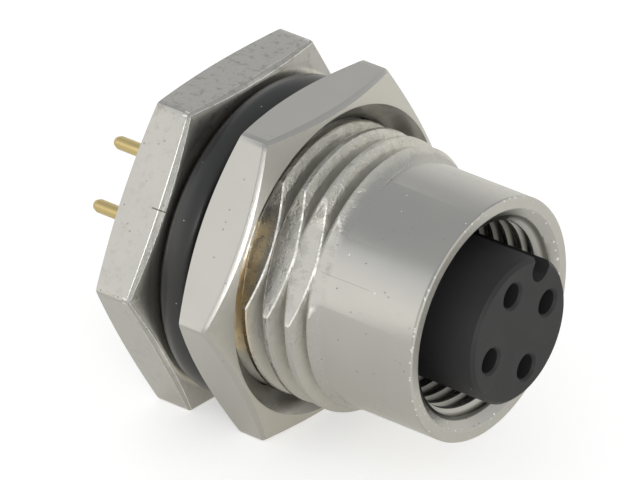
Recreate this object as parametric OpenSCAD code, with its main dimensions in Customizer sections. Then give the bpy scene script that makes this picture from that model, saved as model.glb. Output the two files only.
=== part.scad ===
// Four-way circular connector with sockets, for mounting through a panel.
// The axis runs along X and the mouth faces +X. The origin is the centre of
// the flange's panel face. The connector lies on one flat of its hexagons.
// Positions along X are measured from the panel face. Angles about X start
// at +Z, the top flat, and grow towards -Y.

/* [Hexagons] */
// Width across flats of the flange and the nut
across_flats = 19; // [18:0.5:22]
// Thickness of the flange
flange_t = 2.5; // [2:0.1:4]
// Thickness of the nut
nut_t = 2; // [1.5:0.1:3]
// Distance from the panel face to the nut
panel_gap = 3.4; // [2.9:0.1:4]
// Radius at which the turned edge cut starts on each hexagon's rear face
edge_cut_r = 10.6; // [10.2:0.1:10.8]

/* [Panel thread] */
// Crest diameter of the outside thread
thread_d = 15.8; // [15.6:0.1:16]
// Pitch of the outside thread
thread_pitch = 1.5; // [1.5:0.1:1.6]
// Depth of the outside thread
thread_depth = 0.9; // [0.8:0.05:0.95]
// Width of the flat land on a crest of the outside thread
crest_w = 0.36; // [0.2:0.02:0.36]
// Number of grooves of the outside thread
thread_turns = 4; // [3:1:4]
// Distance from the last groove to the nose, over the cone that ends the thread
thread_end_t = 1.2; // [1.1:0.1:1.5]
// Position of the first crest
first_crest_x = 3.91; // [3.8:0.01:4]
// Distance of the milled flat from the axis
flat_dist = 7.05; // [7.02:0.01:7.3]
// Angle of the milled flat about the axis
flat_angle = 60; // [0:60:300]

/* [Nose] */
// Diameter of the smooth nose
nose_d = 14.3; // [14.2:0.1:14.5]
// Position of the rim
rim_x = 16.5; // [16:0.1:18]
// Diameter at which the mouth's countersink meets the rim
mouth_d = 12.9; // [12.4:0.1:13.2]
// Depth of the mouth's countersink
mouth_cut_t = 0.5; // [0.4:0.1:1]

/* [Coupling thread] */
// Groove diameter of the inside thread
coupling_d = 12; // [11.9:0.05:12.1]
// Crest diameter of the inside thread
coupling_minor_d = 10.92; // [10.8:0.01:11]
// Pitch of the inside thread
coupling_pitch = 1; // [0.9:0.1:1]
// Position of the first groove of the inside thread
coupling_start_x = 8.5; // [8.2:0.1:9]

/* [Rear chamber] */
// Diameter of the chamber that the carrier's base sits in
chamber_d = 11; // [10.6:0.1:11.2]
// Position of the web that stops the carrier's base
web_x = 5.5; // [5:0.1:6]
// Thickness of the web
web_t = 1.5; // [1:0.1:2]

/* [Seals] */
// Cord thickness of the panel seal
panel_cord = 2.4; // [2:0.1:2.6]
// Distance of the panel seal from the panel face
panel_seal_gap = 0.25; // [0:0.05:0.3]
// Cord thickness of the carrier's seal
carrier_cord = 1.1; // [0.9:0.1:1.1]

/* [Contact carrier] */
// Diameter of the carrier's tower
tower_d = 8.5; // [8.3:0.1:8.6]
// Position of the mating face
face_x = 18.55; // [17:0.05:19]
// Position of the rear face of the carrier's base
base_rear_x = -0.5; // [-0.8:0.1:0]
// Width of the coding keyway
key_w = 1.5; // [1.2:0.1:1.6]
// Distance of the keyway's floor from the axis
key_floor = 2.9; // [2.8:0.1:3.2]
// Angle of the keyway about the axis
key_angle = -30; // [-180:15:180]
// Diameter of a lead-in hole's mouth
lead_in_d = 1.75; // [1.6:0.05:1.8]
// Distance of the contacts' front ends behind the mating face
contact_recess = 2; // [0.7:0.1:3]

/* [Contacts] */
// Number of contacts
contacts = 4; // [3:1:4]
// Diameter of the circle that the contacts stand on
contact_circle_d = 5.3; // [5:0.1:5.5]
// Outer diameter of a contact's barrel
barrel_d = 1.6; // [1.5:0.1:1.7]
// Diameter of a contact's socket
socket_d = 1.02; // [1:0.01:1.05]
// Depth of a contact's socket
socket_depth = 7; // [5:0.5:8]
// Diameter of a soldering pin
pin_d = 0.8; // [0.7:0.05:0.9]
// Diameter of the pin's shank, inside the retainer
shank_d = 1.2; // [1.15:0.05:1.3]
// Position of the tip of the soldering pins
pin_tip_x = -9.3; // [-12:0.1:-5]

/* [Hidden] */
$fn = 96;
eps = 0.01;
fit_gap = 0.05;                          // radial gap between pieces that slip together
hex_r = across_flats / 2 / cos(30);      // centre to corner of a hexagon
edge_cut_rise = tan(30);                 // slope of the turned edge cut
thread_r = thread_d / 2;
root_r = thread_r - thread_depth;        // also the radius of the seal's neck
flank_x = thread_depth * tan(30);        // run of a 30 degree flank along X
neck_end_x = first_crest_x - crest_w / 2 - flank_x;
last_groove_x = first_crest_x + (thread_turns - 0.5) * thread_pitch;
nose_r = nose_d / 2;
shoulder_x = last_groove_x + thread_end_t;
shoulder_rise = tan(30);                 // slope of the cone that ends the thread
rim_cut = 0.15;                          // edge break on the rim
flat_start_x = neck_end_x - 0.5;         // the flat runs out over the neck
flat_end_x = shoulder_x + 0.1;           // and ends just on the nose
coupling_r = coupling_d / 2;
coupling_minor_r = coupling_minor_d / 2;
coupling_flank_x = (coupling_r - coupling_minor_r) * tan(30);
coupling_root_w = coupling_pitch / 8;
web_hole_r = tower_d / 2 + fit_gap;
relief_x = web_x + web_t;                // start of the mouth's floor
mouth_cut_x = rim_x - mouth_cut_t;
coupling_end_x = mouth_cut_x - coupling_root_w / 2 - coupling_flank_x;   // room for grooves
nut_bore_r = thread_r + fit_gap;
nut_sink_r = 8.6;                        // countersink where it meets the nut's faces
panel_seal_r = root_r + panel_cord / 2 + eps;
panel_seal_x = panel_seal_gap + panel_cord / 2;
chamber_r = chamber_d / 2;
groove_r = chamber_r - carrier_cord - eps;
groove_x = 1.4;
groove_w = 1.6;
base_r = chamber_r - fit_gap;
tower_r = tower_d / 2;
tower_cut = 0.2;                         // edge break on the tower's rim
lead_in_cut = 0.15;                      // depth of the countersink on a lead-in hole
keyway_end_x = relief_x + 1;
retainer_t = 1.2;
potting_t = 0.6;
contact_r = contact_circle_d / 2;
barrel_r = barrel_d / 2;
barrel_end_x = face_x - contact_recess;
collar_r = 1.1;
collar_t = 1.2;
pin_r = pin_d / 2;
shank_r = shank_d / 2;
shank_out = 0.15;                        // how far a shank stands out of the potting
shank_end_x = base_rear_x - retainer_t - potting_t - shank_out;
pin_cut = 0.18;                          // edge break on a pin's tip
slot_w = 0.22;
slot_depth = 5;
// Angles of the contacts; the keyway lies midway between two of them
CONTACT_ANGLES = [for (i = [0 : contacts - 1]) key_angle + 45 + i * 90];

// Turns an outline of [position along X, radius] points about the X axis
module turned(outline) {
    rotate([0, 90, 0])
        rotate_extrude()
            polygon([for (p = outline) [p[1], p[0]]]);
}

// Round bar along X
module bar(r, from_x, to_x) {
    translate([from_x, 0, 0])
        rotate([0, 90, 0])
            cylinder(r = r, h = to_x - from_x);
}

// Ring of round cord about the X axis
module cord_ring(centre_r, cord, at_x) {
    translate([at_x, 0, 0])
        rotate([0, 90, 0])
            rotate_extrude()
                translate([centre_r, 0])
                    circle(d = cord, $fn = 48);
}

// Moves a piece from the axis to the place of a contact
module at_contact(angle) {
    rotate([angle, 0, 0])
        translate([0, 0, contact_r])
            children();
}

// Hexagonal plate with a flat on top, its rear corners cut back by turning
module hexagon(from_x, thickness) {
    intersection() {
        translate([from_x, 0, 0])
            rotate([30, 0, 0])
                rotate([0, 90, 0])
                    cylinder(r = hex_r, h = thickness, $fn = 6);
        turned([[from_x, 0], [from_x, edge_cut_r],
                [from_x + (hex_r + 1 - edge_cut_r) * edge_cut_rise, hex_r + 1],
                [from_x + thickness, hex_r + 1], [from_x + thickness, 0]]);
    }
}

// Ring cut that makes one groove of the outside thread, with 60 degree flanks
module thread_groove(at_x) {
    top_w = thread_pitch - crest_w;
    root_w = top_w - 2 * flank_x;
    turned([[at_x - top_w / 2, thread_r], [at_x - root_w / 2, root_r],
            [at_x + root_w / 2, root_r], [at_x + top_w / 2, thread_r],
            [at_x + top_w / 2, thread_r + 1], [at_x - top_w / 2, thread_r + 1]]);
}

// Outline of one inside groove, cut into the coupling thread's minor bore
function groove(x) = [
    [x - coupling_root_w / 2 - coupling_flank_x, coupling_minor_r],
    [x - coupling_root_w / 2, coupling_r],
    [x + coupling_root_w / 2, coupling_r],
    [x + coupling_root_w / 2 + coupling_flank_x, coupling_minor_r]];

// Neck, thread and nose, before the inside is bored
module barrel_blank() {
    cone_x = shoulder_x - (thread_r - nose_r) / shoulder_rise;
    difference() {
        turned([[-flange_t / 2, 0], [-flange_t / 2, root_r], [neck_end_x, root_r],
                [neck_end_x + flank_x, thread_r], [cone_x, thread_r], [shoulder_x, nose_r],
                [rim_x - rim_cut, nose_r], [rim_x, nose_r - rim_cut], [rim_x, 0]]);
        for (i = [0 : thread_turns - 1])
            thread_groove(first_crest_x + (i + 0.5) * thread_pitch);
        rotate([flat_angle, 0, 0])
            translate([flat_start_x, -thread_r, flat_dist])
                cube([flat_end_x - flat_start_x, thread_d, thread_r]);
    }
}

// Everything that is bored out of the shell, from the rear chamber to the mouth
module shell_bore() {
    grooves = [for (x = [coupling_start_x : coupling_pitch : coupling_end_x]) each groove(x)];
    turned(concat(
        [[-flange_t - 1, 0], [-flange_t - 1, chamber_r], [web_x, chamber_r],
         [web_x, web_hole_r], [relief_x, web_hole_r], [relief_x, coupling_minor_r]],
        grooves,
        [[mouth_cut_x, coupling_minor_r], [rim_x, mouth_d / 2],
         [rim_x + 1, mouth_d / 2], [rim_x + 1, 0]]));
}

module shell() {
    color("#a9a8a2")
        difference() {
            union() {
                hexagon(-flange_t, flange_t);
                barrel_blank();
            }
            shell_bore();
        }
}

module hex_nut() {
    sink = nut_sink_r - nut_bore_r;
    color("#b2b1ab")
        difference() {
            hexagon(panel_gap, nut_t);
            turned([[panel_gap - 1, 0], [panel_gap - 1, nut_sink_r], [panel_gap, nut_sink_r],
                    [panel_gap + sink, nut_bore_r], [panel_gap + nut_t - sink, nut_bore_r],
                    [panel_gap + nut_t, nut_sink_r], [panel_gap + nut_t + 1, nut_sink_r],
                    [panel_gap + nut_t + 1, 0]]);
        }
}

module panel_seal() {
    color("#333436")
        cord_ring(panel_seal_r, panel_cord, panel_seal_x);
}

// Room for one contact inside the carrier, with its lead-in hole
module contact_cavity() {
    lead_r = lead_in_d / 2;
    hole_r = lead_r - lead_in_cut;
    turned([[base_rear_x - 1, 0], [base_rear_x - 1, collar_r + fit_gap],
            [base_rear_x + collar_t, collar_r + fit_gap],
            [base_rear_x + collar_t, barrel_r + fit_gap],
            [barrel_end_x, barrel_r + fit_gap], [barrel_end_x, hole_r],
            [face_x - lead_in_cut, hole_r], [face_x, lead_r], [face_x + 1, lead_r], [face_x + 1, 0]]);
}

module contact_carrier() {
    color("#3c3c3f")
        difference() {
            turned([[base_rear_x, 0], [base_rear_x, base_r], [groove_x, base_r],
                    [groove_x, groove_r], [groove_x + groove_w, groove_r],
                    [groove_x + groove_w, base_r], [web_x, base_r], [web_x, tower_r],
                    [face_x - tower_cut, tower_r], [face_x, tower_r - tower_cut], [face_x, 0]]);
            for (angle = CONTACT_ANGLES)
                at_contact(angle) contact_cavity();
            rotate([key_angle, 0, 0]) {
                translate([0, 0, key_floor + key_w / 2])
                    bar(key_w / 2, keyway_end_x, face_x + 1);
                translate([keyway_end_x, -key_w / 2, key_floor + key_w / 2])
                    cube([face_x + 1 - keyway_end_x, key_w, tower_r]);
            }
        }
}

module carrier_seal() {
    color("#5a2f28")
        cord_ring(groove_r + carrier_cord / 2 + eps / 2, carrier_cord - eps, groove_x + groove_w / 2);
}

// Disc in the rear chamber with a hole for each contact's shank
module pin_disc(front_x, thickness, disc_r, hole_r) {
    difference() {
        bar(disc_r, front_x - thickness, front_x);
        for (angle = CONTACT_ANGLES)
            at_contact(angle) bar(hole_r, front_x - thickness - 1, front_x + 1);
    }
}

module rear_retainer() {
    color("#2f3032")
        pin_disc(base_rear_x, retainer_t, base_r, shank_r + fit_gap);
}

module potting() {
    color("#1d1d1f")
        pin_disc(base_rear_x - retainer_t, potting_t, chamber_r - eps, shank_r + eps);
}

// Turned contact: soldering pin, shank, collar, and barrel with a slotted socket
module contact(angle) {
    color("#c9b070")
        at_contact(angle)
            difference() {
                turned([[pin_tip_x, 0], [pin_tip_x, pin_r - pin_cut], [pin_tip_x + 2 * pin_cut, pin_r],
                        [shank_end_x, pin_r], [shank_end_x, shank_r],
                        [base_rear_x, shank_r], [base_rear_x, collar_r],
                        [base_rear_x + collar_t, collar_r], [base_rear_x + collar_t, barrel_r],
                        [barrel_end_x, barrel_r], [barrel_end_x, 0]]);
                bar(socket_d / 2, barrel_end_x - socket_depth, barrel_end_x + 1);
                for (turn = [0, 90])
                    rotate([turn, 0, 0])
                        translate([barrel_end_x - slot_depth, -slot_w / 2, -barrel_r - 1])
                            cube([slot_depth + 1, slot_w, barrel_d + 2]);
            }
}

shell();
hex_nut();
panel_seal();
contact_carrier();
carrier_seal();
rear_retainer();
potting();
contact(CONTACT_ANGLES[0]);  // contact_1
contact(CONTACT_ANGLES[1]);  // contact_2
contact(CONTACT_ANGLES[2]);  // contact_3
contact(CONTACT_ANGLES[3]);  // contact_4
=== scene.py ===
# %% [markdown]
# # A four-way circular connector on its side
# The real object is a small socket that is fixed through a panel: a nickel-plated brass shell
# with a hexagonal flange and two screw threads, a nut, a rubber ring, and a black carrier
# with four gilded contacts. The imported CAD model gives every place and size. It is loaded
# first, and each piece made here is laid over its solid, so nothing has to be fitted.

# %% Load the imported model
import math
import bmesh
import bpy
from mathutils import Matrix, Vector


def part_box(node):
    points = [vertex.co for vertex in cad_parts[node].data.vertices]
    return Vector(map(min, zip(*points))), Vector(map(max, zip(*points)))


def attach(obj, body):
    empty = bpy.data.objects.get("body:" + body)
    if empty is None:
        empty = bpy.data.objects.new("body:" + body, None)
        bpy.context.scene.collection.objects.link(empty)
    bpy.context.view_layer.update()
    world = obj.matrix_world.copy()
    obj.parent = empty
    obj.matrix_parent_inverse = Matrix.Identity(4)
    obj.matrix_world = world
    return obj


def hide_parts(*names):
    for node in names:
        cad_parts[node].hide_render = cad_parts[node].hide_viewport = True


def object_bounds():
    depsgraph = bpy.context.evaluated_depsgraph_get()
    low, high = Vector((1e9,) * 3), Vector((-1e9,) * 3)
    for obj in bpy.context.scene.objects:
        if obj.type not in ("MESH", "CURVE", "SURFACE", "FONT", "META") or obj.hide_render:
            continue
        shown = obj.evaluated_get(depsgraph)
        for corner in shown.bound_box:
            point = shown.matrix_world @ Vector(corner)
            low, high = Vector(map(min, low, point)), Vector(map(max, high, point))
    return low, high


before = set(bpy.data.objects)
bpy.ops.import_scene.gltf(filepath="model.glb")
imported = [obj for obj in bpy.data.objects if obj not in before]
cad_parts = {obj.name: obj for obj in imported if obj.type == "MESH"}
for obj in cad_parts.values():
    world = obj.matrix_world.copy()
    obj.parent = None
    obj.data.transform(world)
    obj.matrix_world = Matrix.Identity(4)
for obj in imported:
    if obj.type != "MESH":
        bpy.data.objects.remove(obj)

MM = 0.001
cad_box = [[float(c) for c in corner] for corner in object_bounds()]
print("CAD box in mm:", [[round(c / MM, 2) for c in corner] for corner in cad_box])

# %% [markdown]
# ## The camera
# A long lens from far away keeps the edges of the hexagons nearly parallel, as on a page
# of a catalogue. The camera's place is given as angles round the object, a distance, and
# two small slides that centre the object in the frame. Angles are easier to correct than
# a location and a rotation typed in by hand.

# %% Camera
AZIMUTH, ELEVATION, ROLL = (math.radians(a) for a in (37.77, 29.82, 0.42))
AIM, DISTANCE, SLIDE_RIGHT, SLIDE_UP = Vector((7.15, 0, 0)), 472.9, -1.93, 1.5  # in mm
LENS = 480.3
back = Vector((math.sin(AZIMUTH) * math.cos(ELEVATION),
               -math.cos(AZIMUTH) * math.cos(ELEVATION), math.sin(ELEVATION)))
level_right = Vector((math.cos(AZIMUTH), math.sin(AZIMUTH), 0))
level_up = back.cross(level_right)
right = level_right * math.cos(ROLL) + level_up * math.sin(ROLL)
up = level_up * math.cos(ROLL) - level_right * math.sin(ROLL)
place = (AIM + back * DISTANCE + right * SLIDE_RIGHT + up * SLIDE_UP) * MM
camera = bpy.data.objects.new("camera", bpy.data.cameras.new("camera"))
camera.data.lens = LENS
camera.data.clip_start = 0.01
camera.matrix_world = Matrix([(right.x, up.x, back.x, place.x), (right.y, up.y, back.y, place.y),
                              (right.z, up.z, back.z, place.z), (0, 0, 0, 1)])
bpy.context.scene.collection.objects.link(camera)
bpy.context.scene.camera = camera
print("camera stands", round(place.length, 3), "m from the origin")

# %% [markdown]
# ## Arithmetic in node trees
# Both the threads and the finishes are made with nodes. A tree of sums reads badly as a
# list of nodes and links, so a small class lets a node's output stand in ordinary
# arithmetic: each + or * adds one Math node and links it. `wire` adds any other node.

# %% Node helpers
class Field:
    """The output of a node, ready for ordinary arithmetic."""

    def __init__(self, socket):
        self.socket = socket
        self.tree = socket.id_data

    def math(self, operation, *others):
        return wire(self.tree, "ShaderNodeMath", dict(enumerate((self, *others))), operation=operation)

    def __add__(self, other):
        return self.math("ADD", other)

    def __radd__(self, other):
        return self.math("ADD", other)

    def __sub__(self, other):
        return self.math("SUBTRACT", other)

    def __rsub__(self, other):
        return (self * -1).math("ADD", other)

    def __mul__(self, other):
        return self.math("MULTIPLY", other)

    def __rmul__(self, other):
        return self.math("MULTIPLY", other)

    def __truediv__(self, other):
        return self.math("DIVIDE", other)

    def smaller(self, other):
        return self.math("MINIMUM", other)

    def larger(self, other):
        return self.math("MAXIMUM", other)


def wire(tree, kind, inputs=(), out=0, **settings):
    """Adds a node, sets it up, feeds its inputs with values or fields, and returns one output."""
    node = tree.nodes.new(kind)
    for key, value in settings.items():
        setattr(node, key, value)
    for key, value in dict(inputs).items():
        if isinstance(value, Field):
            tree.links.new(value.socket, node.inputs[key])
        else:
            node.inputs[key].default_value = value
    return Field(node.outputs[out])


print("helpers ready")

# %% [markdown]
# ## Trees with named inputs
# A geometry tree is a small tool with sizes of its own, so each tree here has its sizes as
# named inputs. Inside it, `pick` chooses between rules by a whole number, which is how a
# row of points knows whether it is a foot, a flank or a crest. Every tree ends the same
# way, in real geometry that carries its material.

# %% Tree helpers
def pick(tree, index, choices):
    """One of several values or fields, by a whole number."""
    node = tree.nodes.new("GeometryNodeIndexSwitch")
    node.data_type = "FLOAT"
    while len(node.index_switch_items) < len(choices):
        node.index_switch_items.new()
    for socket, value in zip(node.inputs, [index, *choices]):
        if isinstance(value, Field):
            tree.links.new(value.socket, socket)
        else:
            socket.default_value = value
    return Field(node.outputs[0])


def new_tree(name, floats, integers, geometry=False):
    """An empty geometry tree with named inputs; returns it with its inputs as fields."""
    tree = bpy.data.node_groups.new(name, "GeometryNodeTree")
    face = tree.interface
    if geometry:
        face.new_socket("Geometry", in_out="INPUT", socket_type="NodeSocketGeometry")
    for label in floats:
        face.new_socket(label, in_out="INPUT", socket_type="NodeSocketFloat")
    for label in integers:
        face.new_socket(label, in_out="INPUT", socket_type="NodeSocketInt")
    face.new_socket("Material", in_out="INPUT", socket_type="NodeSocketMaterial")
    face.new_socket("Geometry", in_out="OUTPUT", socket_type="NodeSocketGeometry")
    source = tree.nodes.new("NodeGroupInput")
    return tree, {s.name: Field(s) for s in source.outputs if s.name}


def end_tree(tree, size, geometry):
    """Every tree ends in real geometry with its material."""
    geometry = wire(tree, "GeometryNodeRealizeInstances", {0: geometry})
    geometry = wire(tree, "GeometryNodeSetMaterial", {"Geometry": geometry, "Material": size["Material"]})
    sink = tree.nodes.new("NodeGroupOutput")
    tree.links.new(geometry.socket, sink.inputs[0])


print("tree helpers ready")

# %% [markdown]
# ## The thread tree
# A screw thread is one ridge that climbs by a pitch in each turn. It could be a profile
# swept along a helix, but then the milled flat, the run-outs and the join to the plain
# barrel would all need cutting. Here a flat grid is wrapped round the axis instead. Each
# column is one degree of angle, and eight rows of points draw one ridge: foot, flank,
# rounded crest, flank, foot. A row climbs as the angle grows, so the far edge of the grid
# meets its own first column one ridge higher, and merging the two closes the seam. The
# ridge's height is the smallest of several ceilings: the full height, the cones at both
# ends, and the milled flat. Where a ceiling slopes, the place at which a flank meets it
# is found by a few rounds of trial. The same tree, with the direction turned, makes a
# thread inside a bore.

# %% Thread tree
STEPS = 8
TRIALS = 6
SAME_POINT = 0.001
TAN30 = math.tan(math.radians(30))
LENGTHS = ["Base Radius", "Height", "Direction", "Pitch", "Crest Land", "Crest Round",
           "First Crest", "Start", "End", "Floor At Start", "Run In", "Floor At End", "Run Out",
           "Ceiling At Start", "Start Slope", "Ceiling At End", "End Slope",
           "Flat Distance", "Flat Angle"]


def thread_tree():
    tree, size = new_tree("screw_thread", LENGTHS, ["Turns", "Columns"])
    rows = size["Turns"] * STEPS + 1
    grid = wire(tree, "GeometryNodeMeshGrid",
                {"Size X": 1.0, "Size Y": 1.0, "Vertices X": size["Columns"] + 1, "Vertices Y": rows})
    number = wire(tree, "GeometryNodeInputIndex")
    column = (number / rows).math("FLOOR")
    row = number - column * rows
    turn = (row / STEPS).math("FLOOR")
    step = row - turn * STEPS
    angle = column * 360 / size["Columns"]

    # The cosine stays above 0, so that the side turned away from the flat is never cut.
    away = (angle - size["Flat Angle"]).math("RADIANS").math("COSINE").larger(0.05)
    milled = size["Flat Distance"] / away - size["Base Radius"]

    def ceiling(x):
        at_start = size["Ceiling At Start"] + (x - size["Start"]) * size["Start Slope"]
        at_end = size["Ceiling At End"] + (size["End"] - x) * size["End Slope"]
        return size["Height"].smaller(at_start).smaller(at_end).smaller(milled)

    def floor(x):
        run_in = size["Floor At Start"] * (1 - (x - size["Start"]) / size["Run In"])
        run_out = size["Floor At End"] * (1 - (size["End"] - x) / size["Run Out"])
        return run_in.larger(run_out).larger(0.0)

    # Each side of a crest finds its own land: wider where the ceiling cuts the ridge low.
    centre = size["First Crest"] + size["Pitch"] * (turn - 1 + angle / 360)
    side = pick(tree, step, [-1.0, -1.0, -1.0, -1.0, 0.0, 1.0, 1.0, 1.0])
    half_land = size["Crest Land"] / 2
    land = half_land
    for _ in range(TRIALS):
        corner = (centre + side * land).larger(size["Start"]).smaller(size["End"])
        tip = ceiling(corner).larger(0.0)
        land = half_land + (size["Height"] - tip) * TAN30
    # The ridge's outline, as distances from its centre and as heights above the base.
    soft = size["Crest Round"].smaller(tip * 0.7)
    foot = half_land + size["Height"] * TAN30
    below = land + soft * TAN30
    edge = land - soft
    half = pick(tree, step, [size["Pitch"] / 2, foot, below, edge, 0.0, edge, below, foot])
    x = (centre + side * half).larger(size["Start"]).smaller(size["End"])
    low, high = floor(x), ceiling(x)
    level = pick(tree, step, [low, low, high - soft, high, high, high, high - soft, low])
    radius = size["Base Radius"] + size["Direction"] * level.larger(low)
    turned = angle.math("RADIANS")
    spot = wire(tree, "ShaderNodeCombineXYZ",
                {0: x, 1: radius * turned.math("SINE") * -1, 2: radius * turned.math("COSINE")})
    wrapped = wire(tree, "GeometryNodeSetPosition", {"Geometry": grid, "Position": spot})
    closed = wire(tree, "GeometryNodeMergeByDistance", {"Geometry": wrapped, "Distance": SAME_POINT * MM})
    end_tree(tree, size, closed)
    return tree


screw_thread = thread_tree()
print("thread tree has", len(screw_thread.nodes), "nodes")

# %% [markdown]
# ## From a tree to a plain mesh
# A tree only works while a modifier carries it. The export wants a plain mesh, so the tree
# is run once on an empty object, its result is copied, and the object is removed. The
# inputs are set by each socket's identifier, before anything is evaluated.

# %% Run a tree
def grow(name, tree, values, start=None):
    """Runs a geometry tree once and keeps its result as a plain mesh object."""
    base = bpy.data.objects.new(name + "_base", start or bpy.data.meshes.new(name + "_base"))
    bpy.context.scene.collection.objects.link(base)
    modifier = base.modifiers.new("tree", "NODES")
    modifier.node_group = tree
    for item in tree.interface.items_tree:
        if item.in_out == "INPUT" and item.name in values:
            modifier[item.identifier] = values[item.name]
    base.update_tag()
    depsgraph = bpy.context.evaluated_depsgraph_get()
    depsgraph.update()
    mesh = bpy.data.meshes.new_from_object(base.evaluated_get(depsgraph))
    bpy.data.objects.remove(base)
    mesh.name = name
    return mesh


print("trees can be run")

# %% [markdown]
# ## Turned surfaces
# Everything else on the shell was made on a lathe from hexagonal bar, so it is drawn as
# the lathe sees it: a list of rings from one end to the other, each with a place along
# the axis and a radius. Where the bar is still hexagonal the radius is a rule of the
# angle. All rings have the same 360 columns as the threads, so the parts meet point to
# point and merge into one closed skin. A hexagon's corners fall on whole degrees.

# %% Ring helpers
COLUMNS = 360
MERGED, TOO_SHORT = 0.0015, 0.0005


def value_at(rule, angle):
    return rule(angle) if callable(rule) else rule


def lathe(bm, rings, closed=False, columns=COLUMNS):
    """Adds a skin through rings of (place along the axis, radius), in mm, to a bmesh."""
    rows = []
    for x, radius in rings:
        row = []
        for column in range(columns):
            angle = column * 360 / columns
            r, turned = value_at(radius, angle) * MM, math.radians(angle)
            row.append(bm.verts.new((value_at(x, angle) * MM, -r * math.sin(turned), r * math.cos(turned))))
        rows.append(row)
    for near, far in zip(rows, rows[1:] + (rows[:1] if closed else [])):
        for i in range(columns):
            j = (i + 1) % columns
            bm.faces.new((near[i], near[j], far[j], far[i]))


def finish_skin(bm, name, material, crease=24):
    """Merges, turns the faces outwards, keeps sharp edges sharp, and makes the object."""
    bmesh.ops.remove_doubles(bm, verts=bm.verts, dist=MERGED * MM)
    bmesh.ops.dissolve_degenerate(bm, edges=bm.edges, dist=TOO_SHORT * MM)
    bmesh.ops.recalc_face_normals(bm, faces=bm.faces)
    for face in bm.faces:
        face.smooth = True
    for edge in bm.edges:
        edge.smooth = len(edge.link_faces) == 2 and edge.calc_face_angle(0.0) < math.radians(crease)
    gaps = sum(len(edge.link_faces) != 2 for edge in bm.edges)
    mesh = bpy.data.meshes.new(name)
    bm.to_mesh(mesh)
    volume = bm.calc_volume(signed=True) / MM ** 3
    bm.free()
    mesh.materials.clear()
    mesh.materials.append(material)
    piece = bpy.data.objects.new(name, mesh)
    bpy.context.scene.collection.objects.link(piece)
    print(f"{name}: {len(mesh.polygons)} faces, {gaps} open edges, {volume:.1f} mm3")
    return piece


print("ring helpers ready")

# %% [markdown]
# ## The hexagon rule
# The flange and the nut are cut from the same hexagonal bar. Seen along the axis the
# outline is a hexagon with flats at the top and bottom. Both faces were then turned with
# a flat cone, so the corners are thinner than the middles of the flats and each flat ends
# in an arc. Last, the front edges were rolled over. Writing radius and place along the
# axis as rules of the angle keeps all of this in a few lines, and `steps` describes the
# rolled edge as the eye would walk it, from the flat to the face.

# %% Hexagon rule
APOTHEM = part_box("shell")[1].z / MM
CORNER = 10.93
CORNER_SHARE = 0.4
REAR_TURNED = 9.3
FRONT_TURNED = 9.12


def off_flat(angle):
    """Angle from the middle of the nearest flat, from -30 to 30 degrees."""
    return (angle + 30) % 60 - 30


def hexagon(inset=0.0):
    """The outline's radius, with its corners turned off. The inset may be a rule of the angle."""
    def radius(angle):
        cut = value_at(inset, angle)
        flat = (APOTHEM - cut) / math.cos(math.radians(off_flat(angle)))
        return min(flat, CORNER - CORNER_SHARE * cut)
    return radius


def lens(corner):
    """Share of the full edge width along a flat: 1 at the middle, less at the corners."""
    def share(angle):
        along = math.tan(math.radians(off_flat(angle))) / TAN30
        return corner + (1 - corner) * (1 - along * along)
    return share


def hexagon_rings(rear, front, slope, steps, width):
    """Rings of a plate with turned corners. Each step is (along the axis, inwards) in mm."""
    depth, inset = (sum(step[i] for step in steps) for i in (0, 1))
    edge = hexagon(lambda a: inset * width(a))

    def rear_x(angle):
        return rear + (hexagon()(angle) - REAR_TURNED) * slope

    def front_x(angle):
        return front - (edge(angle) - FRONT_TURNED) * slope

    rings = [(rear, REAR_TURNED), (rear_x, hexagon()),
             (lambda a: front_x(a) - depth * width(a), hexagon())]
    gone, into = 0.0, 0.0
    for forwards, inwards in steps:
        gone, into = gone + forwards, into + inwards
        rings.append((lambda a, left=depth - gone: front_x(a) - left * width(a),
                      hexagon(lambda a, cut=into: cut * width(a))))
    return rings + [(front, FRONT_TURNED)]


print("apothem", round(APOTHEM, 3), "mm")

# %% [markdown]
# ## Empty materials
# Finishes come later, once the shapes are right. The trees already need a material to
# set, so each one is made here with no nodes and gets them in its own step.

# %% Material names
def blank_material(name):
    material = bpy.data.materials.new(name)
    material.use_nodes = True
    material.node_tree.nodes.clear()
    return material


FINISHES = {name: blank_material(name) for name in (
    "nickel_shell", "nickel_nut", "seal_rubber", "inner_seal_rubber",
    "insert_plastic", "retainer_plastic", "potting_resin", "gold_contact", "studio_floor")}
print(len(FINISHES), "materials")

# %% [markdown]
# ## The shell's outside thread
# The shell starts at the rear chamber's edge, goes out over the flange, along the neck
# that carries the rubber ring, over the outside thread, the smooth nose and the rim,
# and back inside down the coupling thread to the chamber. Its two threads come first.
# The outside one has a flat milled along it, close to the roots, that leaves only the
# feet of its grooves. All sizes from here on are in mm until they meet the tree.

# %% Outside thread
ROOT, CREST, NOSE = 7.0, 7.9, 7.15
NECK_END, SHOULDER = 3.2, 10.37
FLAT_DISTANCE, FLAT_ANGLE = 7.05, 60.0
outside_thread = grow("outside_thread", screw_thread, {
    "Base Radius": ROOT * MM, "Height": (CREST - ROOT) * MM, "Direction": 1.0, "Pitch": 1.5 * MM,
    "Crest Land": 0.36 * MM, "Crest Round": 0.06 * MM, "First Crest": 3.66 * MM,
    "Start": NECK_END * MM, "End": SHOULDER * MM, "Floor At Start": 0.0, "Run In": 1 * MM,
    "Floor At End": (NOSE - ROOT) * MM, "Run Out": 0.12 * MM,
    "Ceiling At Start": 0.0, "Start Slope": 1 / TAN30,
    "Ceiling At End": (NOSE - ROOT) * MM, "End Slope": TAN30,
    "Flat Distance": FLAT_DISTANCE * MM, "Flat Angle": FLAT_ANGLE,
    "Turns": 6, "Columns": COLUMNS, "Material": FINISHES["nickel_shell"]})
print("outside thread:", len(outside_thread.polygons), "faces")

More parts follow.
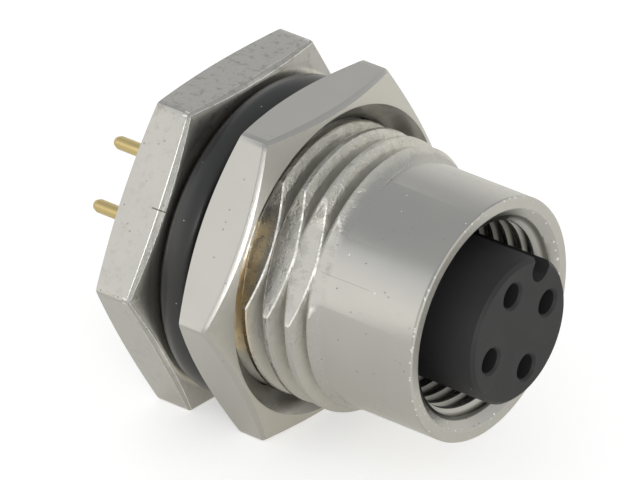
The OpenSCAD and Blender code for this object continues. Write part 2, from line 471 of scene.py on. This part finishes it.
# %% [markdown]
# ## The shell's inside thread
# The plug's ring screws into the mouth, on a finer thread of 1 mm pitch. The same tree
# makes it: the ridges grow towards the axis, the grooves start out of the plain bore, and
# the mouth's countersink cuts the last ridge down. It has no milled flat, so that one is
# set 1 m away.

# %% Inside thread
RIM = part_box("shell")[1].x / MM
BORE, GROOVE = 5.46, 6.0
BORE_START, MOUTH_CONE = 7.8, RIM - 0.4
inside_thread = grow("inside_thread", screw_thread, {
    "Base Radius": GROOVE * MM, "Height": (GROOVE - BORE) * MM, "Direction": -1.0, "Pitch": 1 * MM,
    "Crest Land": 0.36 * MM, "Crest Round": 0.03 * MM, "First Crest": 7.78 * MM,
    "Start": BORE_START * MM, "End": MOUTH_CONE * MM,
    "Floor At Start": (GROOVE - BORE) * MM, "Run In": 0.6 * MM, "Floor At End": 0.0, "Run Out": 1 * MM,
    "Ceiling At Start": (GROOVE - BORE) * MM, "Start Slope": 0.0,
    "Ceiling At End": 0.0, "End Slope": 1.2, "Flat Distance": 1.0, "Flat Angle": 0.0,
    "Turns": 10, "Columns": COLUMNS, "Material": FINISHES["nickel_shell"]})
print("inside thread:", len(inside_thread.polygons), "faces")

# %% [markdown]
# ## The turned rest of the shell
# Three runs of rings close the skin: flange and neck, nose and rim, and the rear chamber
# with the web that stops the carrier. The flange's faces are turned with a very flat
# cone, and its front edge is rolled: a narrow step, a wide bevel and a rounding.

# %% Shell
FLANGE_REAR, FLANGE_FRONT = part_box("shell")[0].x / MM - 0.25, 0.25
FLANGE_SLOPE, FLANGE_CORNER = 0.2, 0.55
FLANGE_EDGE = [(0.045, 0.045), (0.27, 0.11), (0.06, 0.09), (0.02, 0.03)]
WEB_REAR, WEB_FRONT, WEB_BORE, CHAMBER = 5.5, 7.0, 4.3, 5.5
MOUTH, ROUND = 6.48, 0.16
skin = bmesh.new()
skin.from_mesh(outside_thread)
skin.from_mesh(inside_thread)
flange = hexagon_rings(FLANGE_REAR, FLANGE_FRONT, FLANGE_SLOPE, FLANGE_EDGE, lens(FLANGE_CORNER))
lathe(skin, [(FLANGE_REAR, CHAMBER + 0.1), *flange, (FLANGE_FRONT, ROOT + 0.25),
             (FLANGE_FRONT + 0.07, ROOT + 0.07), (FLANGE_FRONT + 0.25, ROOT), (NECK_END, ROOT)])
lathe(skin, [(SHOULDER, NOSE), (RIM - ROUND, NOSE), (RIM - 0.05, NOSE - 0.05), (RIM, NOSE - ROUND),
             (RIM, MOUTH), (RIM - 0.06, MOUTH - 0.1), (MOUTH_CONE, GROOVE)])
lathe(skin, [(BORE_START, BORE), (WEB_FRONT, BORE), (WEB_FRONT, WEB_BORE), (WEB_REAR, WEB_BORE),
             (WEB_REAR, CHAMBER), (FLANGE_REAR + 0.1, CHAMBER), (FLANGE_REAR, CHAMBER + 0.1)])
shell = finish_skin(skin, "shell_body", FINISHES["nickel_shell"])

# %% [markdown]
# ## The nut
# The nut is a slice of the same hexagonal bar, turned more strongly at both faces and
# countersunk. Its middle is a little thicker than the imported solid, which stands for it
# in collisions. The bore stays clear of the shell's crests, because in the model the nut
# slides along the axis and doesn't turn, and the rear countersink stays clear of the
# rubber ring where the nut is screwed right down.

# %% Nut
nut_low, nut_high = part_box("hex_nut")
NUT_REAR, NUT_FRONT = nut_low.x / MM - 0.65, nut_high.x / MM + 0.45
NUT_SLOPE, NUT_CORNER = 0.42, 0.75
NUT_EDGE = [(0.02, 0.01), (0.25, 0.24), (0.01, 0.03)]
NUT_BORE, FRONT_SINK, REAR_SINK = 7.95, 9.08, 8.6
skin = bmesh.new()
lathe(skin, [*hexagon_rings(NUT_REAR, NUT_FRONT, NUT_SLOPE, NUT_EDGE, lens(NUT_CORNER)),
             (NUT_FRONT, FRONT_SINK), (NUT_FRONT - FRONT_SINK + NUT_BORE, NUT_BORE),
             (NUT_REAR + 1.5, NUT_BORE), (NUT_REAR + 0.85, REAR_SINK)], closed=True)
nut = finish_skin(skin, "nut_body", FINISHES["nickel_nut"])

# %% [markdown]
# ## The rubber ring
# An O-ring is moulded in two halves, which leaves a very fine seam on the outside and the
# inside of its cord. It could be a torus primitive, but the seam needs rows of its own, so
# it is a circle turned about the axis with two raised rows.

# %% Rubber ring
seal_low, seal_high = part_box("panel_seal")
CORD = (seal_high.x - seal_low.x) / MM / 2
seal_x = (seal_low.x + seal_high.x) / MM / 2
seal_r = seal_high.z / MM - CORD
CORD_POINTS, SEAM_HEIGHT = 48, 0.012


def cord_ring(i):
    """One ring of the cord; the seam's two rows are those furthest from and nearest to the axis."""
    turned = 2 * math.pi * i / CORD_POINTS
    on_seam = i % (CORD_POINTS // 2) == CORD_POINTS // 4
    size = CORD - (0.0 if on_seam else SEAM_HEIGHT)
    return seal_x + size * math.cos(turned), seal_r + size * math.sin(turned)


skin = bmesh.new()
lathe(skin, [cord_ring(i) for i in range(CORD_POINTS)], closed=True)
seal = finish_skin(skin, "panel_seal_ring", FINISHES["seal_rubber"], crease=60)

# %% [markdown]
# ## The carrier
# The black carrier's solid already has its edge breaks, keyway and lead-in holes. The
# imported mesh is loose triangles, so a copy is merged and given smooth shading that stops
# at sharp edges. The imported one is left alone.

# %% Carrier
def merged_copy(node, name, material, crease=30):
    skin = bmesh.new()
    skin.from_mesh(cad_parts[node].data)
    return finish_skin(skin, name, material, crease)


carrier = merged_copy("contact_carrier", "carrier_body", FINISHES["insert_plastic"])

# %% [markdown]
# ## The contacts
# A contact is one turned bar: a soldering pin with a chamfered tip behind, a shank and a
# collar inside, and a socket in front. Four of them stand on a circle. They could be
# copied by a loop, but a tree with the circle's radius, first angle and count as inputs
# can be used again for a connector with another number of poles.

# %% Contact circle tree
PIN_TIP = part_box("contact_1")[0].x / MM
CONTACT_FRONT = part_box("contact_1")[1].x / MM
CONTACT_CIRCLE = 5.3 / 2
FIRST_CONTACT = 15.0


def circle_tree():
    tree, size = new_tree("contact_circle", ["Circle Radius", "First Angle"], ["Count"], geometry=True)
    points = wire(tree, "GeometryNodeMeshCircle", {"Vertices": size["Count"], "Radius": 1.0})
    number = wire(tree, "GeometryNodeInputIndex")
    turned = (size["First Angle"] + number * 360 / size["Count"]).math("RADIANS")
    spot = wire(tree, "ShaderNodeCombineXYZ",
                {0: 0.0, 1: size["Circle Radius"] * turned.math("SINE") * -1,
                 2: size["Circle Radius"] * turned.math("COSINE")})
    points = wire(tree, "GeometryNodeSetPosition", {"Geometry": points, "Position": spot})
    facing = wire(tree, "ShaderNodeCombineXYZ", {0: turned, 1: 0.0, 2: 0.0})
    copies = wire(tree, "GeometryNodeInstanceOnPoints",
                  {"Points": points, "Instance": size["Geometry"], "Rotation": facing})
    end_tree(tree, size, copies)
    return tree


contact_circle = circle_tree()
print("contact tree has", len(contact_circle.nodes), "nodes")

# %% [markdown]
# ## One contact, turned and copied
# The lathe helper draws the contact as an open tube, from the pin's tip to the floor of
# the socket. Its two ends are then closed with one face each. Few columns are enough for
# so thin a piece, and the tree makes the other three.

# %% Contacts
PIN, SHANK, COLLAR, BARREL, SOCKET = 0.4, 0.6, 1.1, 0.8, 0.51
SHANK_REAR, COLLAR_REAR, COLLAR_FRONT, SOCKET_DEPTH = -2.45, -0.5, 0.7, 7
skin = bmesh.new()
lathe(skin, [(PIN_TIP, 0.24), (PIN_TIP + 0.05, 0.29), (PIN_TIP + 0.3, PIN), (SHANK_REAR, PIN),
             (SHANK_REAR, SHANK), (COLLAR_REAR, SHANK), (COLLAR_REAR, COLLAR), (COLLAR_FRONT, COLLAR),
             (COLLAR_FRONT, BARREL), (CONTACT_FRONT - 0.12, BARREL), (CONTACT_FRONT, BARREL - 0.1),
             (CONTACT_FRONT, SOCKET + 0.07), (CONTACT_FRONT - 0.07, SOCKET),
             (CONTACT_FRONT - SOCKET_DEPTH, SOCKET)], columns=48)


def at_tip(v):
    return v.co.x < (PIN_TIP + 0.01) * MM


def at_socket_floor(v):
    return (v.co.x < (CONTACT_FRONT - SOCKET_DEPTH + 0.1) * MM
            and (SOCKET - 0.01) * MM < v.co.yz.length < (SOCKET + 0.01) * MM)


for end in (at_tip, at_socket_floor):
    bmesh.ops.contextual_create(skin, geom=[v for v in skin.verts if end(v)])
single = finish_skin(skin, "single_contact", FINISHES["gold_contact"])
circle = grow("contacts_gilded", contact_circle, {
    "Circle Radius": CONTACT_CIRCLE * MM, "First Angle": FIRST_CONTACT, "Count": 4,
    "Material": FINISHES["gold_contact"]}, start=single.data)
bpy.data.objects.remove(single)
contacts = bpy.data.objects.new("contacts_gilded", circle)
bpy.context.scene.collection.objects.link(contacts)
print("contacts:", len(circle.polygons), "faces")

# %% [markdown]
# ## Helpers for the finishes
# Each finish is a tree of procedural nodes on Object coordinates, which stay with the
# piece. The place along the axis, the radius and the angle come from those coordinates,
# so a mark can follow the turning. A ramp or a band says where a mark is, noise breaks it
# up, specks scatter it, and a dent turns any of them into a bump.

# %% Finish helpers
def along_axis(tree):
    """Object coordinates as a vector, and as place along the axis, radius and angle."""
    spot = wire(tree, "ShaderNodeTexCoord", out=3)
    parts = wire(tree, "ShaderNodeSeparateXYZ", {0: spot}).socket.node.outputs
    x, y, z = (Field(s) for s in parts)
    return spot, x, (y * y + z * z).math("SQRT"), (y * -1).math("ARCTAN2", z).math("DEGREES")


def ramp(value, low, high):
    """0 below low, 1 above high, smooth between."""
    return wire(value.tree, "ShaderNodeMapRange",
                {"Value": value, "From Min": low, "From Max": high}, interpolation_type="SMOOTHSTEP")


def band(value, low, high, soft):
    return ramp(value, low - soft, low + soft) * (1 - ramp(value, high - soft, high + soft))


def noise(tree, spot, scale, detail=3.0, roughness=0.55):
    return wire(tree, "ShaderNodeTexNoise",
                {"Vector": spot, "Scale": scale, "Detail": detail, "Roughness": roughness})


def blend(tree, amount, first, second):
    """Mixes two colours; each is a field or three numbers."""
    def colour(c):
        return c if isinstance(c, Field) else (*c, 1.0)
    return wire(tree, "ShaderNodeMix", {0: amount, 6: colour(first), 7: colour(second)},
                out=2, data_type="RGBA")


def dent(tree, height, distance, strength=1.0, normal=None):
    inputs = {"Height": height, "Distance": distance, "Strength": strength}
    if normal:
        inputs["Normal"] = normal
    return wire(tree, "ShaderNodeBump", inputs)


def surface(tree, **sockets):
    """Ends a finish: one Principled shader and the output."""
    inputs = {key.replace("_", " "): value for key, value in sockets.items()}
    shader = wire(tree, "ShaderNodeBsdfPrincipled", inputs)
    sink = tree.nodes.new("ShaderNodeOutputMaterial")
    tree.links.new(shader.socket, sink.inputs["Surface"])


def specks(tree, spot, per_metre, size, share):
    """Small round spots, 1 inside and 0 outside, in a share of the cells of a random grid."""
    cells = wire(tree, "ShaderNodeTexVoronoi", {"Vector": spot, "Scale": per_metre}).socket.node.outputs
    chance = wire(tree, "ShaderNodeSeparateColor", {0: Field(cells["Color"])})
    return (1 - ramp(Field(cells["Distance"]), size * 0.6, size)) * chance.math("LESS_THAN", share)


def turning(along, spacing, jitter):
    """Fine grooves left by the tool, from 0 to 1, at a spacing along a coordinate."""
    return ((along + jitter * spacing) * (2 * math.pi / spacing)).math("SINE") * 0.5 + 0.5


print("finish helpers ready")

# %% [markdown]
# ## Nickel plating
# The brass is plated with satin nickel, so the colour is a warm grey and most of the detail
# is in the roughness and the bumps. The tool left rings on every face that it crossed.
# They are finer than the eye can see, but they spread the light outwards from the axis,
# which is why a turned face looks light from the side. Ringed faces are also painted a
# lighter grey, a painted sheen for the light that they catch. Some marks below are painted
# light as well. One function makes the finish for both pieces. It is given three rules: how
# torn each place is, which marks lie on it, and where along the axis a face is ringed.
# Object coordinates are in metres, so from here on 0.0034 is 3.4 mm.

# %% Nickel plating
WARM, COOL = (0.47, 0.46, 0.435), (0.425, 0.42, 0.405)
# The turned colour is a painted sheen: a lighter grey for turned faces, standing in for the light they
# catch.
TURNED_SHEEN, PIT = (0.66, 0.64, 0.585), (0.12, 0.115, 0.11)
RING_SPACING, LINE_SPACING = 0.00006, 0.00009


def nickel(material, worked, marks, ringed):
    """Satin nickel. Rules say how torn each place is, which marks it has, and where it is ringed and given
    the painted sheen.
    """
    tree = material.node_tree
    place = along_axis(tree)
    spot, x, radius, angle = place
    facing = wire(tree, "ShaderNodeSeparateXYZ", {0: wire(tree, "ShaderNodeTexCoord", out=1)})
    face = ramp(facing.math("ABSOLUTE"), 0.80, 0.92)
    cloud = noise(tree, spot, 350.0)
    fine = noise(tree, spot, 16000.0, 2.0)
    coarse = noise(tree, spot, 8000.0, 3.0, 0.7)
    torn = worked(tree, *place)
    pits = specks(tree, spot, 3300.0, 0.2, 0.09)
    turned = face * ringed(x)

    colour = blend(tree, cloud, WARM, COOL)
    colour = blend(tree, pits * (0.35 + torn * 0.5), colour, PIT)
    # Painted sheen: ringed faces get the lighter turned colour.
    colour = blend(tree, turned * 0.6, colour, TURNED_SHEEN)
    for amount, mark in marks(tree, *place):
        colour = blend(tree, amount, colour, mark)

    rings = turning(radius, RING_SPACING, coarse) * turned
    lines = turning(x, LINE_SPACING, coarse) * (1 - face)
    bumps = dent(tree, fine, 0.000004, 0.6)
    bumps = dent(tree, rings, 0.00001, 1.0, bumps)
    bumps = dent(tree, lines, 0.0000006, 1.0, bumps)
    bumps = dent(tree, coarse * torn - pits * 0.2, 0.00008, 1.0, bumps)
    surface(tree, Base_Color=colour, Metallic=1.0,
            Roughness=0.24 + cloud * 0.05 + face * 0.06 + torn * 0.04, Normal=bumps)


print("nickel can be made")

# %% [markdown]
# ## Wear and painted light on the thread
# The threads were cut roughly and tumbled with the other parts, so their crests are pitted,
# most of all on the upper side. There the crests are also painted paler and sprinkled with
# near-white specks, a painted highlight and painted glints. The mill left a torn edge where
# the flat cuts each crest, and a bright line is painted along it as a painted highlight.
# Beside the nut a tan colour is painted, a painted reflection of warm light bounced between
# the nut's bore and the shell. Each mark is a pair: how much of it there is, and its colour.
# The distance from the axis, measured square to the milled flat, tells the flat from the crests.

# %% Marks on the thread
# Of the colours below, the tan is a painted reflection, the near-white and the pale grey are painted
# highlights and glints, and the near-black is painted shade in the mouth's grooves as well as the colour of
# the flange's dark seam. The brown is for the grooves, stains and a scratch.
BROWN, TAN, NEAR_BLACK = (0.17, 0.14, 0.09), (0.86, 0.70, 0.45), (0.06, 0.055, 0.045)
GLINT_WHITE, PALE = (0.92, 0.91, 0.88), (0.74, 0.72, 0.65)


def from_flat(radius, angle):
    """Distance from the axis, measured square to the milled flat."""
    return radius * (angle - FLAT_ANGLE).math("RADIANS").math("COSINE")


def thread_marks(tree, spot, x, radius, angle):
    patches = ramp(noise(tree, spot, 1100.0), 0.35, 0.6)
    level = from_flat(radius, angle)
    milled = band(level, 0.00702, 0.00708, 0.00001)
    threaded = band(x, 0.0040, 0.0098, 0.0003)
    upper = 1 - ramp(angle, 40.0, 75.0)
    # The upper crest lands are painted with the pale grey, a painted highlight.
    lands = threaded * ramp(radius, 0.0073, 0.0075) * upper
    roots = threaded * (1 - ramp(radius, 0.0071, 0.0077)) * (1 - milled)
    grooves = roots * (0.04 + upper * 0.03 + patches * 0.10)
    # Painted reflection: a tan colour beside the nut, for warm light bounced from the nut's bore onto the
    # shell.
    beside_nut = band(x, 0.0040, 0.0057, 0.0003) * band(angle, 50.0, 115.0, 6.0) * (0.6 + patches * 0.4)
    # Painted highlight: a near-white line where the milled flat cuts the crests, along a real torn edge.
    burr_highlight = band(level, 0.00698, 0.00704, 0.00001) * threaded * (0.45 + patches * 0.5)
    # Painted glints: near-white specks on the upper lands.
    painted_sparkle = specks(tree, spot, 12000.0, 0.45, 0.35) * lands * (1 - ramp(x, 0.0085, 0.0092))
    return [(lands * 0.6, PALE), (grooves, BROWN), (beside_nut, TAN), (burr_highlight, GLINT_WHITE),
            (painted_sparkle * 0.7, GLINT_WHITE)]


print("marks on the thread ready")

# %% [markdown]
# ## Wear and painted highlights on the flange
# The flange's front edge was rolled, which leaves a band of small dents and one short seam.
# Two thin bright lines along the band are painted highlights, for the light that its small
# edges catch. The band is widest in the middle of a flat, so its place is worked out with the
# same rule of the angle that shapes the edge. The front face is painted paler, a painted
# sheen. The flats have faint stains, most on the top one, which is as the bar came.

# %% Marks on the flange
def flange_bevel(x, radius):
    """1 on the flange's rolled edge, 0 elsewhere."""
    return ramp(radius, 0.0089, 0.0091) * band(x, -0.00060, 0.00022, 0.00002)


def across_edge(radius, angle):
    """Place across the flange's rolled edge: 0 where it leaves the flat, 1 where it meets the face."""
    off = (angle + 30).math("FLOORED_MODULO", 60.0) - 30
    along = off.math("RADIANS").math("TANGENT") / TAN30
    width = FLANGE_CORNER + (1 - along * along) * (1 - FLANGE_CORNER)
    depth = APOTHEM * MM - radius * off.math("RADIANS").math("COSINE")
    return depth / (width * (sum(step[1] for step in FLANGE_EDGE) * MM))


def flange_marks(tree, spot, x, radius, angle):
    bevel = flange_bevel(x, radius)
    across = across_edge(radius, angle)
    # Painted sheen: the flange's front face is painted with the pale grey.
    front = band(x, 0.0, 0.00027, 0.00002) * band(radius, 0.0072, 0.0094, 0.0001)
    # Painted highlights: two near-white lines along the rolled edge.
    edges = (band(across, 0.02, 0.15, 0.02) + band(across, 0.62, 0.92, 0.04)) * bevel
    seam = band(angle, 60.1, 60.5, 0.1) * bevel
    stained = ramp(noise(tree, spot, 1900.0, 5.0, 0.7), 0.50, 0.66) * ramp(radius, 0.0090, 0.0092)
    on_top = ramp(angle.math("ABSOLUTE"), 40.0, 25.0)
    return [(front * 0.7, PALE), (edges * 0.8, GLINT_WHITE), (seam * 0.9, NEAR_BLACK),
            (stained * (0.12 + on_top * 0.3), BROWN)]


print("marks on the flange ready")

# %% [markdown]
# ## Wear and painted light on the nose and in the mouth
# The nose has a few nicks, painted near-white as painted glints, and one long faint scratch
# that isn't quite straight. The rim is worn in spots, painted bright as a painted highlight.
# Inside, the grooves of the thread are painted near-black, a painted shade.

# %% Marks on the nose and in the mouth
def nose_marks(tree, spot, x, radius, angle):
    # Painted glints: nicks on the nose painted near-white.
    nick_glints = specks(tree, spot, 2100.0, 0.13, 0.06) * ramp(x, 0.0100, 0.0104)
    # Painted shade: the grooves inside the mouth are painted near-black.
    in_grooves = ramp(radius, 0.00562, 0.00584) * (1 - ramp(radius, 0.00605, 0.00615))
    inside = in_grooves * band(x, 0.0078, 0.01606, 0.00003)
    wander = noise(tree, spot, 500.0) * 0.8
    scratch = band(angle + wander, 61.6, 61.9, 0.12) * band(x, 0.0095, 0.0130, 0.0003)
    # Painted highlight: worn spots along the rim's edge painted near-white.
    rim_wear_highlight = specks(tree, spot, 5000.0, 0.4, 0.3) * band(x, RIM * MM - 0.00012, RIM * MM, 0.00002)
    return [(nick_glints * 0.6, GLINT_WHITE), (inside * 0.85, NEAR_BLACK), (scratch * 0.35, BROWN),
            (rim_wear_highlight * 0.7, GLINT_WHITE)]


print("marks on the nose ready")

# %% [markdown]
# ## The shell's and the nut's nickel
# What is left is to say where the surface is torn and where it is ringed. On the shell
# that is the thread, mostly its upper crests, and the flange's rolled edge. Its faces are
# ringed in front of the flange, and less so at the rim; a ringed face also gets the lighter
# painted sheen. On the nut only the bore is torn, its countersinks are stained, and every
# face is ringed and gets that sheen.

# %% Shell and nut
def shell_work(tree, spot, x, radius, angle):
    patches = ramp(noise(tree, spot, 1500.0), 0.42, 0.62)
    thread = band(x, 0.0034, 0.0103, 0.0002) * (1 - ramp(radius, 0.0080, 0.0082))
    lands = ramp(radius, 0.0073, 0.0075)
    upper = 1 - ramp(angle, 52.0, 66.0)
    bevel = flange_bevel(x, radius) * band(across_edge(radius, angle), 0.1, 0.9, 0.05)
    on_thread = thread * (0.08 + patches * 0.22 + lands * upper * (0.35 + patches * 0.5))
    return (on_thread + bevel).smaller(1.0)


def shell_marks(*place):
    return thread_marks(*place) + flange_marks(*place) + nose_marks(*place)


def shell_rings(x):
    return ramp(x, 0.0009, 0.0011) * (1 - ramp(x, 0.014, 0.015) * 0.45)


def nut_work(tree, spot, x, radius, angle):
    return (1 - ramp(radius, 0.0079, 0.0081)) * 0.3


def nut_marks(tree, spot, x, radius, angle):
    sink = (1 - ramp(radius, 0.0084, 0.0091)) * ramp(noise(tree, spot, 1100.0), 0.3, 0.7)
    return [(sink * 0.35, BROWN)]


nickel(FINISHES["nickel_shell"], shell_work, shell_marks, shell_rings)
nickel(FINISHES["nickel_nut"], nut_work, nut_marks, lambda x: 1.0)
print("nickel has", len(FINISHES["nickel_shell"].node_tree.nodes), "nodes")

# %% [markdown]
# ## Rubber, plastic and resin
# The soft blacks differ mostly in how rough they are. Rubber is satin and collects dust,
# which shows as a few pale specks. The carrier is glass-filled plastic, nearly matt, and
# the resin is glossy because it set without a mould. The inner seal is a dark red rubber.

# %% Rubber, plastic and resin
DUST = (0.45, 0.44, 0.42)


def soft_black(material, colour, rough, grain_scale, grain_depth, dust=0.0, gloss=0.5):
    tree = material.node_tree
    spot, x, radius, angle = along_axis(tree)
    cloud = noise(tree, spot, 600.0)
    grain = noise(tree, spot, grain_scale, 3.0)
    tone = blend(tree, cloud, colour, tuple(c * 0.8 for c in colour))
    if dust:
        tone = blend(tree, specks(tree, spot, 2600.0, 0.11, dust), tone, DUST)
    surface(tree, Base_Color=tone, Roughness=rough + cloud * 0.1, Specular_IOR_Level=gloss,
            Normal=dent(tree, grain, grain_depth, 0.8))


for name, colour, rough, grain_scale, grain_depth, more in (
        ("seal_rubber", (0.030, 0.030, 0.031), 0.24, 9000.0, 0.000006, {"dust": 0.12}),
        ("inner_seal_rubber", (0.10, 0.03, 0.02), 0.45, 9000.0, 0.000006, {}),
        ("insert_plastic", (0.028, 0.028, 0.030), 0.52, 12000.0, 0.000008, {"dust": 0.02, "gloss": 0.35}),
        ("retainer_plastic", (0.03, 0.03, 0.033), 0.5, 12000.0, 0.000008, {}),
        ("potting_resin", (0.012, 0.012, 0.013), 0.2, 3000.0, 0.00001, {})):
    soft_black(FINISHES[name], colour, rough, grain_scale, grain_depth, **more)
print("blacks made")

# %% [markdown]
# ## Gold
# The contacts are gold over nickel, pale and a little dull. Two golds in soft clouds keep
# the thin pins from looking like plain wire.

# %% Gold
PALE_GOLD, DEEP_GOLD = (0.62, 0.50, 0.25), (0.52, 0.41, 0.19)
tree = FINISHES["gold_contact"].node_tree
spot = along_axis(tree)[0]
cloud = noise(tree, spot, 900.0)
surface(tree, Base_Color=blend(tree, cloud, PALE_GOLD, DEEP_GOLD), Metallic=1.0,
        Roughness=0.28 + cloud * 0.1, Normal=dent(tree, noise(tree, spot, 15000.0), 0.000003, 0.6))
print("gold made")

# %% [markdown]
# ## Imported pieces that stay
# Three pieces hide inside or behind: the inner seal, the retainer and the resin. Their
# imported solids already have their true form, so they only get a finish.

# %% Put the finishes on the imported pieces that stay
for node, finish in (("carrier_seal", "inner_seal_rubber"), ("rear_retainer", "retainer_plastic"),
                     ("potting", "potting_resin")):
    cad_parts[node].data.materials.clear()
    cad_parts[node].data.materials.append(FINISHES[finish])
print("packed pieces finished")

# %% [markdown]
# ## The floor
# The object lies on a plain white floor that keeps its shadow. Light Path tells who is
# looking: for the camera some white is added to the floor's own light, and for a mirror
# or glass a little warm white, so that the metal shows a pale floor too. No lamp is made
# stronger for that, so the object's own colours stay as they were written.

# %% Floor
FLOOR_HALF = 3  # metres
WHITE, WARM_WHITE = (1.0, 1.0, 1.0), (1.0, 0.96, 0.83)
SEEN, MIRRORED = 0.5, 0.33
floor_z = cad_box[0][2]
corners = [(i * FLOOR_HALF, j * FLOOR_HALF, floor_z) for i, j in ((-1, -1), (1, -1), (1, 1), (-1, 1))]
floor_mesh = bpy.data.meshes.new("floor")
floor_mesh.from_pydata(corners, [], [(0, 1, 2, 3)])
floor_mesh.materials.append(FINISHES["studio_floor"])
floor = bpy.data.objects.new("floor", floor_mesh)
bpy.context.scene.collection.objects.link(floor)
tree = FINISHES["studio_floor"].node_tree
rays = wire(tree, "ShaderNodeLightPath").socket.node.outputs
straight = Field(rays["Is Camera Ray"])
mirrored = (Field(rays["Is Glossy Ray"]) + Field(rays["Is Transmission Ray"])).smaller(1.0)
matte = wire(tree, "ShaderNodeBsdfDiffuse", {"Color": (0.8, 0.8, 0.8, 1)})
glow = wire(tree, "ShaderNodeEmission", {"Color": blend(tree, straight, WARM_WHITE, WHITE),
                                         "Strength": straight * SEEN + mirrored * MIRRORED})
both = wire(tree, "ShaderNodeAddShader", {0: matte, 1: glow})
sink_node = tree.nodes.new("ShaderNodeOutputMaterial")
tree.links.new(both.socket, sink_node.inputs["Surface"])
print("floor at", round(floor_z / MM, 3), "mm")

# %% [markdown]
# ## The sky
# Metal shows its surroundings, so most of its look is made here. The sky is a soft
# studio: bright walls with a warm tint, a darker and cooler ceiling, and one broad soft
# light on the left. The rest is in small ramps of the direction looked in, with no image.
# The camera itself sees plain white.

# %% Sky
WALLS, CEILING_DROP, LEFT_LIGHT = 0.98, 0.36, 0.45
WALL_TINT, CEILING_TINT = (1.0, 0.985, 0.935), (0.97, 0.99, 1.0)
world = bpy.data.worlds.new("studio")
bpy.context.scene.world = world
world.use_nodes = True
tree = world.node_tree
tree.nodes.clear()
look = wire(tree, "ShaderNodeTexCoord", out=0)


def toward(azimuth, elevation):
    a, e = math.radians(azimuth), math.radians(elevation)
    return Vector((math.sin(a) * math.cos(e), -math.cos(a) * math.cos(e), math.sin(e)))


def lobe(azimuth, elevation, inner, outer):
    """1 within the inner angle of a direction, 0 outside the outer one."""
    along = wire(tree, "ShaderNodeVectorMath", {0: look, 1: toward(azimuth, elevation)},
                 out=1, operation="DOT_PRODUCT")
    return ramp(along, math.cos(math.radians(outer)), math.cos(math.radians(inner)))


height = Field(wire(tree, "ShaderNodeSeparateXYZ", {0: look}).socket.node.outputs[2])
level = WALLS - ramp(height, 0.15, 0.75) * CEILING_DROP + lobe(-36, 16, 18, 38) * LEFT_LIGHT
tint = blend(tree, ramp(height, 0.2, 0.7), WALL_TINT, CEILING_TINT)
rays = wire(tree, "ShaderNodeLightPath").socket.node.outputs
straight = Field(rays["Is Camera Ray"])
strength = wire(tree, "ShaderNodeMix", {0: straight, 2: level, 3: 1.0}, data_type="FLOAT")
shader = wire(tree, "ShaderNodeBackground", {"Color": blend(tree, straight, tint, WHITE),
                                             "Strength": strength})
sink_node = tree.nodes.new("ShaderNodeOutputWorld")
tree.links.new(shader.socket, sink_node.inputs["Surface"])
print("sky made")

# %% [markdown]
# ## The lamp
# One small soft box, low and to the right of the camera, gives the long highlight on the
# nose and the bright edges of the nut. It is an area lamp whose size is close to its
# distance, because a hard lamp would show as a hard spot in the metal.

# %% Lamp
def soft_box(name, azimuth, elevation, distance, width, height, power):
    lamp = bpy.data.lights.new(name, "AREA")
    lamp.shape, lamp.size, lamp.size_y, lamp.energy = "RECTANGLE", width, height, power
    box = bpy.data.objects.new(name, lamp)
    way = toward(azimuth, elevation)
    box.location = way * distance
    box.rotation_euler = way.to_track_quat("Z", "Y").to_euler()
    bpy.context.scene.collection.objects.link(box)


soft_box("key", 59, 11, 0.6, 0.16, 0.16, 0.6)

# %% [markdown]
# ## Hand each piece to its body
# Every piece rides on the body that carries it and stands for the solids that it covers.

# %% Ride and replace
for piece, body, nodes, slot in (
        (shell, "housing", ["shell"], "nickel_shell"),
        (nut, "nut", ["hex_nut"], "nickel_nut"),
        (seal, "housing", ["panel_seal"], "seal_rubber"),
        (carrier, "housing", ["contact_carrier"], "insert_plastic"),
        (contacts, "housing", ["contact_1", "contact_2", "contact_3", "contact_4"], "gold_contact")):
    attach(piece, body)
    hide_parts(*nodes)
print("pieces handed over")

# %% [markdown]
# ## Colours as written
# The Standard view shows a colour as it was written, with no film curve over it.

# %% Colours and the end
bpy.context.scene.view_settings.view_transform = "Standard"
